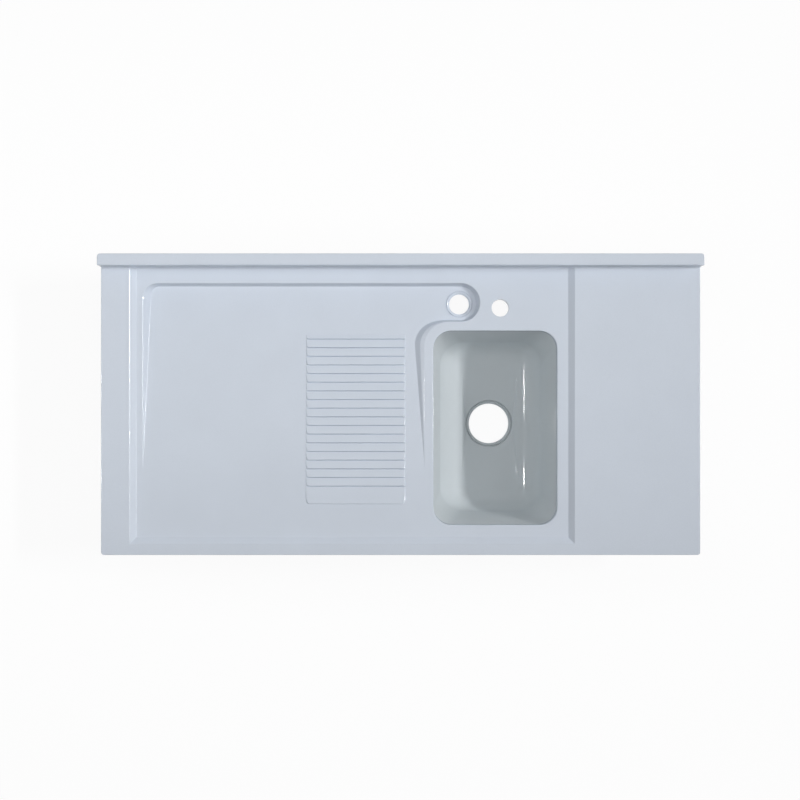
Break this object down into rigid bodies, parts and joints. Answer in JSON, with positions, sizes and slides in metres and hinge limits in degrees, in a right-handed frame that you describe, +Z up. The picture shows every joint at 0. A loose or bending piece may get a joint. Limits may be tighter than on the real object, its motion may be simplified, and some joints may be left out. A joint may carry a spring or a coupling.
{
  "type": "countertop washbasin",
  "caption": "Cast-stone laundry worktop with a back upstand, sloped drainboard, washboard, deep rectangular bowl, waste hole, deck outlet and tap hole.",
  "frame": {"origin": "middle of the plan, on the underside of the middle batten, in the plane that rests on the cabinet", "axes": "+X to the right along the worktop, +Y to the wall behind, +Z up"},
  "size_m": [1.2, 0.6, 0.26],
  "materials": {
    "cast_stone": "gloss gelcoat",
    "bowl_stone": "gloss gelcoat",
    "joint_adhesive": "smooth, cured",
    "plywood": "sealed birch ply",
    "stainless": "bright rolled",
    "brass": "turned"
  },
  "bodies": {
    "root": {"deck": "cast_stone", "back_upstand": "cast_stone", "cove_strip": "cast_stone", "bowl": "bowl_stone", "bowl_adhesive": "joint_adhesive", "front_apron": "cast_stone", "left_apron": "cast_stone", "right_apron": "cast_stone", "rear_rail": "plywood", "left_batten": "plywood", "washboard_batten": "plywood", "middle_batten": "plywood", "bowl_batten": "plywood", "clip_inserts": "brass", "clip_studs": "stainless", "bowl_clips": "stainless", "clip_washers": "stainless", "clip_nuts": "stainless"}
  },
  "joints": []
}
